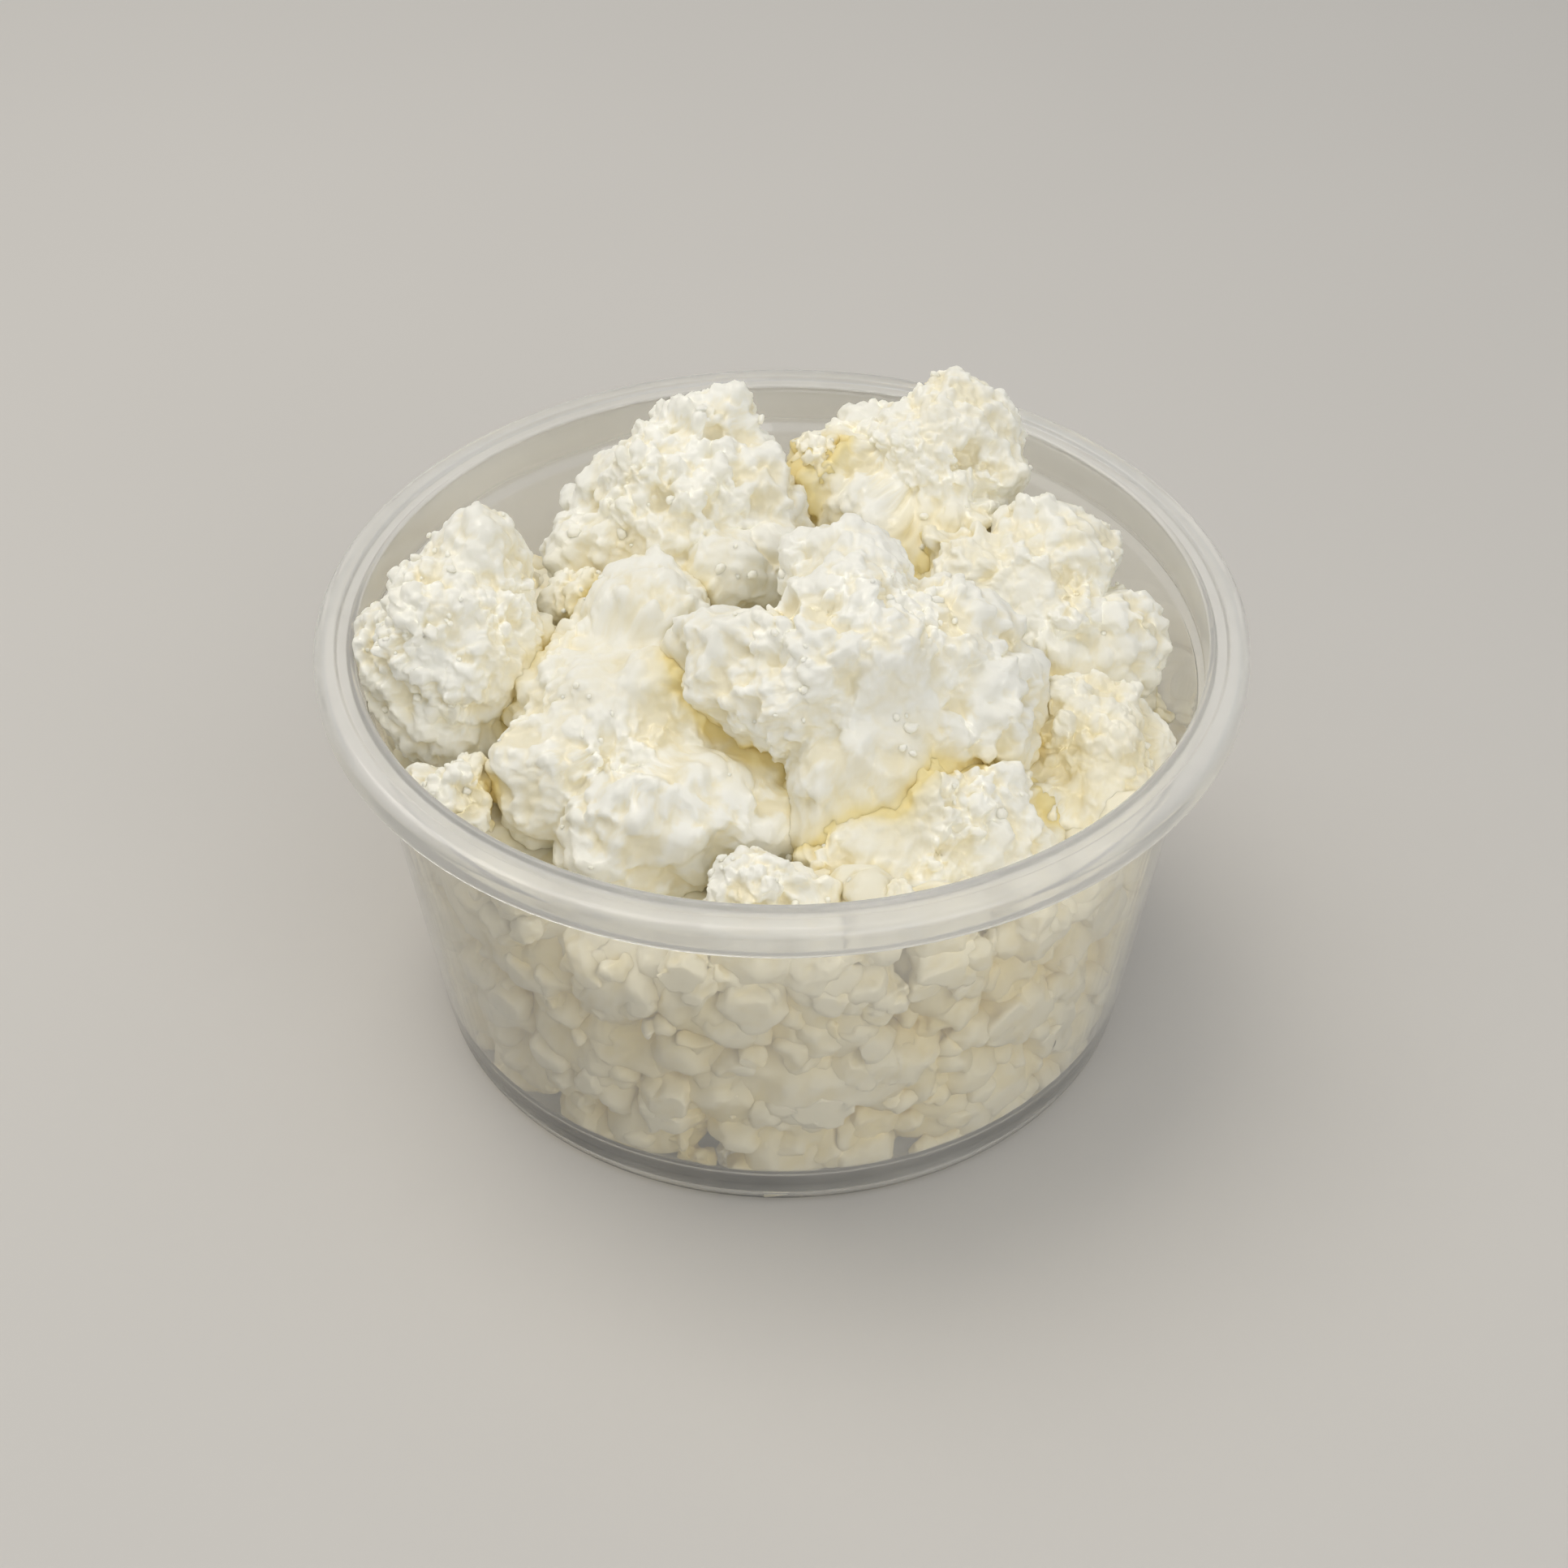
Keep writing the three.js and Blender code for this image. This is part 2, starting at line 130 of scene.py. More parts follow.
# Smooth broken faces: the middle of each, and its radius.
SMOOTH_SPOTS = {
    "chunk_center": [(14.0, -25.0, 65.0, 9.0)],
    "chunk_front_left": [(-20.0, -14.0, 61.0, 12.0)],
    "chunk_right": [(31.0, 1.0, 62.0, 6.0)],
    "chunk_under_center": [(12.0, -36.0, 54.0, 7.0)],
}

# Spots of painted yellow shade in the hollows under and between crumbs: x, y, z, radius and how much.
SHADE_SPOTS = [
    (17.0, 14.0, 57.5, 9.0, 0.75), (7.0, 20.0, 56.0, 7.0, 0.35), (37.0, -18.0, 48.0, 13.0, 0.32),
    (-3.0, -25.0, 49.0, 8.0, 0.45), (25.0, 8.0, 58.0, 8.0, 0.5), (12.0, -33.0, 49.0, 9.0, 0.2),
    (-33.0, 2.0, 52.0, 8.0, 0.4),
]

# The bed's rings of crumbs against the wall, from the floor up, each turned by degrees.
BED_RINGS = [
    dict(height=9.5, count=13, radius=7.2, turn=-113),
    dict(height=23, count=14, radius=7.8, turn=-99),
    dict(height=36, count=14, radius=7.6, turn=-88),
]
BED_MIDDLE = np.array([0.0, 0.0, 27.0])
BED_CORE = dict(radius=40.0, bottom=5.0, top=43.0)
BED_UNEVENNESS = 0.2   # share by which a ring's crumbs differ in size and in place
BED_WANDER = 1.5       # by how much their height wanders
WALL_PRESS = 0.6       # how far they press into the wall, which cuts them flat
PILLOW_OVERLAP = 0.55  # share of a swell's radius that lies in the crumb above it
BED_STAND_OFF = 0.9    # how far the bed stays behind the crumbs at the wall
BED_TURNS = 360
BED_ROWS = 90
BED_SEED = 5

# Balls that raise the bed under the heap's middle: x, y, z and radius.
MOUNDS = [
    (0, -6, 37, 17), (-18, -8, 36, 15), (17, -14, 35, 15), (-16, 10, 36, 15), (14, 13, 37, 14),
    (28, 2, 36, 12),
]

# How yellow the bed is at the wall, how much painted yellow shade is added behind it and over what
# distance, and the heights between which it turns as pale as the crumbs on its top.
BED_TONE = 0.2
BED_SHADE = 0.75
BED_CLEFT = 4.0
PALE_FROM = 36.0
PALE_TO = 42.0
TOP_YELLOW = 0.22

# Crumbs against the wall, over the bed, in rows from the floor up: each row's height, how
# many crumbs it has and their middle radius; the grid steps along a crumb's patches; and
# the least and most share of its radius that a crumb's middle stands off the wall.
WALL_CRUMBS = {
    "wall_crumbs_low": dict(
        seed=400, steps=12, stand_off=(1.0, 1.35),
        rows=[(6.3, 32, 4.1), (12.5, 33, 4.8), (19.5, 33, 4.6)]),
    "wall_crumbs_high": dict(
        seed=420, steps=12, stand_off=(1.0, 1.35),
        rows=[(26.5, 34, 4.8), (33.5, 34, 4.8), (39.5, 32, 4.0), (45.0, 34, 3.6)]),
    "wall_nodules_low": dict(
        seed=440, steps=6, stand_off=(0.95, 2.1),
        rows=[(5.0, 52, 1.9), (10.0, 56, 2.1), (15.0, 58, 2.1), (20.0, 58, 2.1)]),
    "wall_nodules_high": dict(
        seed=460, steps=6, stand_off=(0.95, 2.1),
        rows=[(25.0, 58, 2.1), (30.0, 60, 2.1), (35.0, 60, 2.1), (40.0, 60, 1.9)]),
}
WALL_LEAST, WALL_RANGE = 0.65, 0.7  # a crumb's radius, as shares of its row's
WALL_TURN = 0.8         # how far it wanders round the wall, as a share of the step
WALL_WANDER = 1.8       # by how much its height wanders
WALL_FLOOR = 0.8        # the least height of its middle, as a share of its radius
LOW_ROW_GAPS = 0.14     # share of each piece's lowest row that is left out
FRONT_ONLY_FROM = 43.0  # rows above this height lie at the front alone
FRONT_REACH = -22.0

# How the faces are broken: the width of each sort of swell or dent, and how far it moves
# a point.  The bed, whose crumbs are pressed together, is broken more coarsely.
BREAKS = [(8.0, 1.7), (3.8, 1.15), (1.9, 0.6), (1.0, 0.3)]
BED_BREAKS = [(12.0, 2.4), (6.0, 1.5), (3.2, 1.2), (1.7, 0.7)]
SMALL_BREAKS = [(5.5, 1.3), (2.8, 0.8), (1.5, 0.55)]
WIDEST_BREAK = 1.2  # no break is wider than this share of its crumb's first lobe

# Crumbs strewn over the bed's top: how many are drawn, their least and greatest radius,
# their grid steps, how far they sink in, and how steeply up from the bed's middle they
# lie.  One is left out where its middle lies too deep in a larger crumb, or too close to
# the wall, both as shares of its radius.
TOP_COUNT = 420
TOP_SEED = 501
TOP_RADII = (1.3, 3.6)
TOP_STEPS = 7
TOP_SINK = 0.45
TOP_FROM = 0.22
TOP_HIDDEN = 0.6
TOP_FROM_WALL = 0.8

# By what shares of its radius a small crumb of the bed is stretched along each axis.
STRETCH_LEAST, STRETCH_RANGE = 0.8, 0.45

# The free spaces above the bed, which its crumbs stay under: each one's left, front and
# floor, and its right and back.
FREE_SPACES = [
    ((-16, 38, 45.1), (18, 48)), ((-42, 14, 43.6), (-32, 28)), ((-32, 32, 44.9), (-18, 40)),
    ((32, 20, 45.0), (40, 32)), ((18, 38, 41.2), (26, 43)), ((-24, -44, 43.7), (-10, -39)),
]

# Curd grains: the spacing of each size, how far it stands out as a share of that, and the
# share of the surface that bears it.  The bearing patches are a few grains wide, and the
# grains' places are shifted by a share of their size, so that no lattice shows.
GRAINS = [(3.0, 0.66, 0.80), (1.7, 0.80, 0.90), (0.95, 0.75, 0.95)]
BEARING_SIZE = 2.5
BEARING_EDGE = 3
GRAIN_SHIFT = 0.35
GRAIN_SHIFT_SIZE = 0.8

# Pits: their spacing, their depth as a share of that, and how many cells have one.
PIT_SPACING = 3.6
PIT_DEPTH = 0.55
PIT_FILL = 0.40

# The last raggedness of a broken edge.
RAGGED_SIZE = 0.7
RAGGED_DEPTH = 0.2

# The push, in millimetres, over which a point's painted shade goes from a pit's to a top's.
TONE_SPAN = 2.2

# Broken faces are calmer than the rest: the width of such a patch, how calm it gets, how
# calm the smooth spots are, how sharply both end, and how much the coarsest break heeds.
CALM_SIZE = 8.0
CALM_MOST = 0.40
SPOT_CALM = 0.70
CALM_EDGE = 2.2
COARSE_CALM = 0.5

# How yellow the painted shade in a cleft gets, the distance over which that fades, how far from a crumb
# it is looked for, and how sharply a spot of painted shade ends.
CLEFT_MOST = 0.85
CLEFT_WIDTH = 1.3
CLEFT_SEARCH = 5
SPOT_EDGE = 1.6

# Loose crumbs on top: how many, their least and greatest radius, how far they sink in,
# how they are stretched and roughened, the widths of the patches they lie in, how much
# the narrow ones count, and from which patch value and upward tilt on they lie.
LOOSE_COUNT = 260
LOOSE_RADII = (0.28, 0.9)
LOOSE_SINK = 0.85
LOOSE_LEAST, LOOSE_RANGE = 0.75, 0.5
LOOSE_ROUGHNESS, LOOSE_ROUGH_SIZE = 0.5, 0.9
LOOSE_PATCHES = (7.0, 2.0)
LOOSE_NARROW = 0.35
LOOSE_FROM = 0.1
LOOSE_TILT = 0.15
# The relief given to the loose crumbs sets how much painted pit shade they get.
LOOSE_RELIEF = 0.6


# -------------------------------------------------------------- seeded numbers, noise

def draw(seed, k):
    """A repeatable number from 0 to 1: the fraction left of a large multiple of a sine."""
    x = np.abs(np.sin(k * 12.9898 + seed * 78.233)) * 43758.5453
    return x - np.floor(x)


def cell_hash(cells, seed):
    """Three numbers from 0 to 1 for each integer cell, by mixing the bits of its place."""
    c = cells.astype(np.int64).astype(np.uint32)
    h = c[..., 0] * np.uint32(0x8DA6B343) ^ c[..., 1] * np.uint32(0xD8163841)
    h = h ^ c[..., 2] * np.uint32(0xCB1AB31F) ^ np.uint32(seed * 0x9E3779B1 & 0xFFFFFFFF)
    out = []
    for shift in (15, 13, 16):
        h = (h ^ (h >> np.uint32(shift))) * np.uint32(0x2C1B3C6D)
        h = h ^ (h >> np.uint32(12))
        out.append(h.astype(np.float64) / 4294967296.0)
    return np.stack(out, -1)


def smooth_noise(points, size, seed):
    """Value noise from -1 to 1: cell corners' random values, blended by a smooth cubic."""
    q = points / size
    base = np.floor(q)
    t = q - base
    t = t * t * (3 - 2 * t)
    total = 0.0
    for corner in np.ndindex(2, 2, 2):
        weight = np.prod(np.where(np.array(corner) == 1, t, 1 - t), axis=-1)
        total = total + weight[..., None] * cell_hash(base + np.array(corner), seed)
    return 2 * total - 1


def grains(points, size, seed, fill=1.0):
    """How far a packing of uneven balls covers each point, from 0 to about 0.8.

    Space is cut into cells of the given size.  A random share of them, the fill, holds
    one ball each at a random place, with a radius of 0.35 to 0.8 of the cell, its sides
    squared off by a random share.  A point's cover is the greatest root of radius
    squared less distance squared, over the balls of the 27 cells round it.
    """
    q = points / size
    base = np.floor(q)
    cover = np.zeros(points.shape[:-1])
    for step in np.ndindex(3, 3, 3):
        cell = base + np.array(step) - 1
        h = cell_hash(cell, seed)
        other = cell_hash(cell, seed + 77)
        away = np.abs(cell + 0.1 + 0.8 * h - q)
        radius = np.where(other[..., 2] < fill, 0.35 + 0.45 * other[..., 0], 0.0)
        square = other[..., 1]
        far = (1 - square) * np.sum(away ** 2, axis=-1) + square * 1.5 * np.max(away, axis=-1) ** 2
        cover = np.maximum(cover, radius ** 2 - far)
    return np.sqrt(np.maximum(cover, 0.0))


# ------------------------------------------------------------------------- surfaces

@lru_cache
def ball(steps):
    """Directions and quads of a ball made of six square patches with shared edges.

    Each patch is the face of a cube, its lines spread by the tangent of equal angles,
    and every point is scaled to length one.  Points that patches share are merged.
    """
    line = np.tan(np.linspace(-np.pi / 4, np.pi / 4, steps + 1))
    u, v = np.meshgrid(line, line, indexing="ij")
    one = np.ones_like(u)
    patches = [(one, u, v), (-one, v, u), (v, one, u), (u, -one, v), (u, v, one), (v, u, -one)]
    points = np.concatenate([np.stack(p, -1).reshape(-1, 3) for p in patches])
    points /= np.linalg.norm(points, axis=1, keepdims=True)
    at = np.arange((steps + 1) ** 2).reshape(steps + 1, steps + 1)
    quad = np.stack([at[:-1, :-1], at[1:, :-1], at[1:, 1:], at[:-1, 1:]], -1).reshape(-1, 4)
    quads = np.concatenate([quad + k * (steps + 1) ** 2 for k in range(6)])
    _, first, merged = np.unique(
        np.round(points * 1e5).astype(np.int64), axis=0, return_index=True, return_inverse=True)
    return points[first], merged.reshape(-1)[quads]


def exit_distance(directions, centre, radius):
    """How far rays from the origin run before they leave a sphere; 0 where they miss."""
    along = directions @ centre
    inside = radius ** 2 - centre @ centre + along ** 2
    return np.where(inside > 0, np.maximum(along + np.sqrt(np.maximum(inside, 0)), 0), 0)


def reach(directions, lobes):
    """The joined reach of lobes, each (centre, radius): a high power mean of their exits."""
    total = np.zeros(len(directions))
    for centre, radius in lobes:
        total += exit_distance(directions, centre, radius) ** LOBE_BLEND
    return total ** (1 / LOBE_BLEND)


def wall_radius(z):
    """Inner radius of the tapered wall at a height, carried on above the ledge."""
    rise = (z - FOOT_HEIGHT) / (LEDGE_HEIGHT - FOOT_HEIGHT)
    return WALL_FOOT_RADIUS + rise * (WALL_TOP_RADIUS - WALL_FOOT_RADIUS) - SKIN


def kept_inside(points, clearance=CLEARANCE):
    """Points drawn in to the tub's inner wall and up to its floor, where they pass it."""
    p = points.copy()
    r = np.hypot(p[:, 0], p[:, 1])
    most = wall_radius(p[:, 2]) - clearance
    share = np.where(r > most, most / np.maximum(r, 1e-6), 1.0)
    p[:, :2] *= share[:, None]
    over_moat = np.hypot(p[:, 0], p[:, 1]) > RING_INNER_RADIUS
    floor = SKIN + np.where(over_moat, 0.0, FLOOR_LIFT) + clearance
    p[:, 2] = np.maximum(p[:, 2], floor)
    return p


def normals_of(points, faces):
    """Unit normals at the points: the sum of the crosses of the faces' diagonals or sides."""
    total = np.zeros_like(points)
    for face in faces:
        a, b, c, d = (points[face[:, k % face.shape[1]]] for k in range(4))
        across = np.cross(c - a, (d if face.shape[1] == 4 else a) - b)
        for k in range(face.shape[1]):
            for axis in range(3):
                total[:, axis] += np.bincount(face[:, k], across[:, axis], len(points))
    return total / np.maximum(np.linalg.norm(total, axis=1, keepdims=True), 1e-12)


def eased(points, faces):
    """Points drawn halfway to the mean of the middles of the faces round them."""
    total, count = np.zeros_like(points), np.zeros(len(points))
    for face in faces:
        middles = points[face].mean(axis=1)
        for k in range(face.shape[1]):
            count += np.bincount(face[:, k], minlength=len(points))
            for axis in range(3):
                total[:, axis] += np.bincount(face[:, k], middles[:, axis], len(points))
    return 0.5 * points + 0.5 * total / count[:, None]


def crumb_lobes(crumb):
    """The crumb's middle, and its lobes and knobs as (centre, radius) round that middle."""
    middle = np.array(crumb["lobes"][0][:3], float)
    lobes = [(np.array(lobe[:3], float) - middle, lobe[3]) for lobe in crumb["lobes"]]
    i = np.arange(crumb["knobs"])
    z = 2 * draw(crumb["seed"], 3 * i + 1) - 1
    turn = 2 * np.pi * draw(crumb["seed"], 3 * i + 2)
    level = np.sqrt(1 - z ** 2)
    directions = np.stack([level * np.cos(turn), level * np.sin(turn), z], -1)
    radii = crumb["knob_radius"] * (KNOB_LEAST + KNOB_RANGE * draw(crumb["seed"], 3 * i + 3))
    depths = reach(directions, lobes) - KNOB_SINK * radii
    return middle, lobes + list(zip(directions * depths[:, None], radii))


def crumbled(points, faces, seed, breaks=BREAKS, smooth_spots=(), middles=None):
    """Breaks a closed surface up as curd does, coarse sizes first.

    Noise of falling size shifts the points every way, which leaves swells, dents and
    small overhangs.  Each size of grain then moves a point by its cover times the size
    times its share, on the patches that bear grains, and pits move it inwards likewise.
    These pushes go halfway between the surface's normal and the way out from the form's
    middle, so that the surface doesn't fold over itself in its creases.  Patches of slow
    noise, and the given spots (x, y, z, radius), are calmer.  Returns the points, and the
    relief, which is the push from 0 in the deepest pits to 1 on the tops.
    """
    outward = points - (points.mean(axis=0) if middles is None else middles)
    outward /= np.linalg.norm(outward, axis=1, keepdims=True)
    patch = smooth_noise(points, CALM_SIZE, seed + 7)[:, 0]
    calm = CALM_MOST * np.clip(0.5 + CALM_EDGE * patch, 0, 1)
    for x, y, z, radius in smooth_spots:
        far = np.linalg.norm(points - np.array([x, y, z]), axis=1) / radius
        calm = np.maximum(calm, SPOT_CALM * np.clip(CALM_EDGE * (1 - far), 0, 1))
    rough = 1 - calm
    for k, (size, depth) in enumerate(breaks):
        strength = rough if k else 1 - COARSE_CALM * calm
        points = points + (depth * strength)[:, None] * smooth_noise(points, size, seed + 3 + 13 * k)
    total = np.zeros(len(points))
    for k, (size, share, spread) in enumerate(GRAINS):
        shift = smooth_noise(points, GRAIN_SHIFT_SIZE * size, seed + 31 * k)
        shifted = points + GRAIN_SHIFT * size * shift
        bearing = smooth_noise(points, BEARING_SIZE * size, seed + 5 * k)[:, 1]
        bears = np.clip(0.5 + BEARING_EDGE * (bearing + spread - 0.5), 0, 1)
        cover = grains(shifted, size, seed + 17 * k)
        push = (cover - 0.5 * cover.mean()) * size * share * rough * bears
        if k == 0:
            pits = grains(shifted, PIT_SPACING, seed + 57, PIT_FILL)
            push = push - pits * PIT_SPACING * PIT_DEPTH * rough
        way = normals_of(points, faces) + outward
        way /= np.maximum(np.linalg.norm(way, axis=1, keepdims=True), 1e-6)
        points = eased(points + way * push[:, None], faces)
        total += push
    points = points + RAGGED_DEPTH * rough[:, None] * smooth_noise(points, RAGGED_SIZE, seed + 91)
    return points, np.clip(0.5 + (total - total.mean()) / TONE_SPAN, 0, 1)


# ----------------------------------------------------------------------- mesh pieces

def mesh_piece(name, points, faces, material, attributes=()):
    """A mesh object from millimetre points and a list of face arrays of one size each."""
    mesh = bpy.data.meshes.new(name)
    loops = np.concatenate([f.reshape(-1) for f in faces]).astype(np.int32)
    sizes = np.concatenate([np.full(len(f), f.shape[1]) for f in faces]).astype(np.int32)
    mesh.vertices.add(len(points))
    mesh.vertices.foreach_set("co", (points * METRE).astype(np.float32).ravel())
    mesh.loops.add(len(loops))
    mesh.loops.foreach_set("vertex_index", loops)
    mesh.polygons.add(len(sizes))
    starts = np.concatenate([[0], np.cumsum(sizes)[:-1]]).astype(np.int32)
    mesh.polygons.foreach_set("loop_start", starts)
    mesh.polygons.foreach_set("loop_total", sizes)
    mesh.polygons.foreach_set("use_smooth", np.ones(len(sizes), bool))
    for key, values in attributes:
        mesh.attributes.new(key, "FLOAT", "POINT")
        mesh.attributes[key].data.foreach_set("value", values.astype(np.float32))
    mesh.materials.append(material)
    mesh.update(calc_edges=True)
    mesh.validate()
    piece = bpy.data.objects.new(name, mesh)
    bpy.context.scene.collection.objects.link(piece)
    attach(piece, "root")
    return piece


# ------------------------------------------------------------------------- materials

def linear(hex_colour):
    """An sRGB hex colour as linear red, green, blue and an alpha of one."""
    parts = [int(hex_colour[i:i + 2], 16) / 255 for i in (1, 3, 5)]
    return [c / 12.92 if c <= 0.04045 else ((c + 0.055) / 1.055) ** 2.4 for c in parts] + [1.0]


def node(tree, kind, inputs=None, **settings):
    """Adds a node with its settings; each input is a constant or another node's output."""
    made = tree.nodes.new(kind)
    for key, value in settings.items():
        setattr(made, key, value)
    for key, value in (inputs or {}).items():
        if isinstance(value, bpy.types.NodeSocket):
            tree.links.new(value, made.inputs[key])
        else:
            made.inputs[key].default_value = value
    return made


def new_material(name):
    """An empty node material and its output node."""
    material = bpy.data.materials.new(name)
    material.use_nodes = True
    material.node_tree.nodes.clear()
    return material, node(material.node_tree, "ShaderNodeOutputMaterial")


def per_metre(millimetres):
    """A noise scale, in repeats to the metre, for a pattern of that size."""
    return 1000.0 / millimetres


def feta_material():
    """Fresh feta: a moist, crumbly white curd.

    Light enters it and comes out a millimetre or two away, so its edges glow.  The warm yellow shade of
    its clefts and pits is painted into its colour, and the tops of the grains are almost pure white.
    """
    material, output = new_material("feta_curd")
    tree = material.node_tree
    place = node(tree, "ShaderNodeTexCoord").outputs["Object"]
    relief = node(tree, "ShaderNodeAttribute", attribute_name="relief").outputs["Fac"]
    shade_yellow = node(tree, "ShaderNodeAttribute", attribute_name="shade_yellow").outputs["Fac"]
    cream = node(tree, "ShaderNodeTexNoise", {
        "Vector": place, "Scale": per_metre(14), "Detail": 3.0, "Roughness": 0.55})
    fine = node(tree, "ShaderNodeTexNoise", {
        "Vector": place, "Scale": per_metre(1.1), "Detail": 4.0, "Roughness": 0.6})
    # Painted shade: where the relief is low, in the pits, the colour is mixed towards the darker cream
    # #f2eace.
    pit_shade = node(tree, "ShaderNodeMapRange", {
        "Value": relief, "From Min": 0.18, "From Max": 0.62, "To Min": 0.0, "To Max": 1.0})
    body = node(tree, "ShaderNodeMix", {
        "Factor": cream.outputs["Fac"], 6: linear("#f8f4e2"), 7: linear("#faf9f0")}, data_type="RGBA")
    tops = node(tree, "ShaderNodeMix", {
        "Factor": pit_shade.outputs["Result"], 6: linear("#f2eace"), 7: body.outputs[2]}, data_type="RGBA")
    # Painted shade: the attribute of painted yellow shade mixes in the warm yellow #efdb92, in the
    # clefts between crumbs, at the shade spots and behind the wall.
    shaded_clefts = node(tree, "ShaderNodeMix", {
        "Factor": shade_yellow, 6: tops.outputs[2], 7: linear("#efdb92")}, data_type="RGBA")
    bump = node(tree, "ShaderNodeBump", {
        "Height": fine.outputs["Fac"], "Strength": 0.3, "Distance": 0.1 * METRE})
    shader = node(tree, "ShaderNodeBsdfPrincipled", {
        "Base Color": shaded_clefts.outputs[2],
        "Roughness": 0.62,
        "IOR": 1.40,
        "Subsurface Weight": 0.8,
        "Subsurface Radius": (1.0, 0.96, 0.88),
        "Subsurface Scale": 0.6 * METRE,
        "Normal": bump.outputs["Normal"]}, subsurface_method="BURLEY")
    tree.links.new(shader.outputs["BSDF"], output.inputs["Surface"])
    return material


def polypropylene_material():
    """Moulded polypropylene of 0.7 mm: see-through but milky, with a satin skin.

    It blurs what stands off it, leaves what touches it plain, and its rim, where it is
    folded and seen edge on, looks white.  Its skin has faint upright flow lines.
    """
    material, output = new_material("polypropylene_milky")
    tree = material.node_tree
    place = node(tree, "ShaderNodeTexCoord").outputs["Object"]
    height = node(tree, "ShaderNodeSeparateXYZ", {"Vector": place}).outputs["Z"]
    upright = node(tree, "ShaderNodeMapping", {
        "Vector": place, "Scale": (1.0, 1.0, 0.06)})
    flow = node(tree, "ShaderNodeTexNoise", {
        "Vector": upright.outputs["Vector"], "Scale": per_metre(2.5), "Detail": 3.0})
    cloud = node(tree, "ShaderNodeTexNoise", {
        "Vector": place, "Scale": per_metre(16), "Detail": 2.0})
    bump = node(tree, "ShaderNodeBump", {
        "Height": flow.outputs["Fac"], "Strength": 0.16, "Distance": 0.1 * METRE})
    clear = node(tree, "ShaderNodeBsdfPrincipled", {
        "Base Color": linear("#fdfcf7"),
        "Roughness": 0.04,
        "IOR": 1.49,
        "Transmission Weight": 1.0,
        "Normal": bump.outputs["Normal"]})
    milk = node(tree, "ShaderNodeBsdfPrincipled", {
        "Base Color": linear("#efeee9"),
        "Roughness": 0.28,
        "IOR": 1.49,
        "Normal": bump.outputs["Normal"]})
    haze = node(tree, "ShaderNodeMapRange", {
        "Value": cloud.outputs["Fac"], "From Min": 0.3, "From Max": 0.7, "To Min": 0.13, "To Max": 0.21})
    rim = node(tree, "ShaderNodeMapRange", {
        "Value": height, "From Min": (LEDGE_HEIGHT + 1.0) * METRE,
        "From Max": (LEDGE_HEIGHT + 3.0) * METRE, "To Min": 0.0, "To Max": 0.15})
    milkiness = node(tree, "ShaderNodeMath", {
        0: haze.outputs["Result"], 1: rim.outputs["Result"]}, operation="ADD")
    body = node(tree, "ShaderNodeMixShader", {
        0: milkiness.outputs["Value"], 1: clear.outputs["BSDF"], 2: milk.outputs["BSDF"]})
    through = node(tree, "ShaderNodeBsdfTransparent", {"Color": linear("#fefdfa")})
    rays = node(tree, "ShaderNodeLightPath")
    whole = node(tree, "ShaderNodeMixShader", {
        0: rays.outputs["Is Shadow Ray"], 1: body.outputs["Shader"], 2: through.outputs["BSDF"]})
    tree.links.new(whole.outputs["Shader"], output.inputs["Surface"])
    return material


def floor_material():
    """Plain pale matt floor with the faintest mottle."""
    material, output = new_material("floor_pale_matt")
    tree = material.node_tree
    place = node(tree, "ShaderNodeTexCoord").outputs["Object"]
    mottle = node(tree, "ShaderNodeTexNoise", {"Vector": place, "Scale": per_metre(90)})
    colour = node(tree, "ShaderNodeMix", {
        "Factor": mottle.outputs["Fac"], 6: linear("#d3cfc7"), 7: linear("#d7d3cb")}, data_type="RGBA")
    shader = node(tree, "ShaderNodeBsdfPrincipled", {
        "Base Color": colour.outputs[2], "Roughness": 0.7})
    tree.links.new(shader.outputs["BSDF"], output.inputs["Surface"])
    return material


# ------------------------------------------------------------------------------- tub

def rounded(corners, steps=5):
    """A profile with each corner (r, z, rounding) replaced by an arc of that radius.

    The arc starts and ends at rounding times the tangent of half the turn from the
    corner, and its points are the corner's two tangent points turned about its centre.
    """
    points = []
    count = len(corners)
    for i, (r, z, rounding) in enumerate(corners):
        here = np.array([r, z], float)
        if rounding == 0 or i in (0, count - 1):
            points.append(here)
            continue
        to_last = np.array(corners[i - 1][:2], float) - here
        to_next = np.array(corners[i + 1][:2], float) - here
        a, b = to_last / np.linalg.norm(to_last), to_next / np.linalg.norm(to_next)
        half = np.arccos(np.clip(a @ b, -1, 1)) / 2
        sides = min(np.linalg.norm(to_last), np.linalg.norm(to_next))
        back = min(rounding / np.tan(half), MOST_OF_SIDE * sides)
        centre = here + (a + b) / np.linalg.norm(a + b) * back / np.cos(half)
        start, end = here + a * back - centre, here + b * back - centre
        sweep = np.arctan2(start[0] * end[1] - start[1] * end[0], start @ end)
        for t in np.linspace(0, 1, steps + 1):
            c, s = np.cos(sweep * t), np.sin(sweep * t)
            points.append(
                centre + np.array([c * start[0] - s * start[1], s * start[0] + c * start[1]]))
    return np.array(points)


def split_long(profile, longest):
    """The profile with points added so that no stretch is longer than a given length."""
    out = [profile[0]]
    for a, b in zip(profile[:-1], profile[1:]):
        parts = max(1, int(np.ceil(np.linalg.norm(b - a) / longest)))
        out += [a + (b - a) * k / parts for k in range(1, parts + 1)]
    return np.array(out)


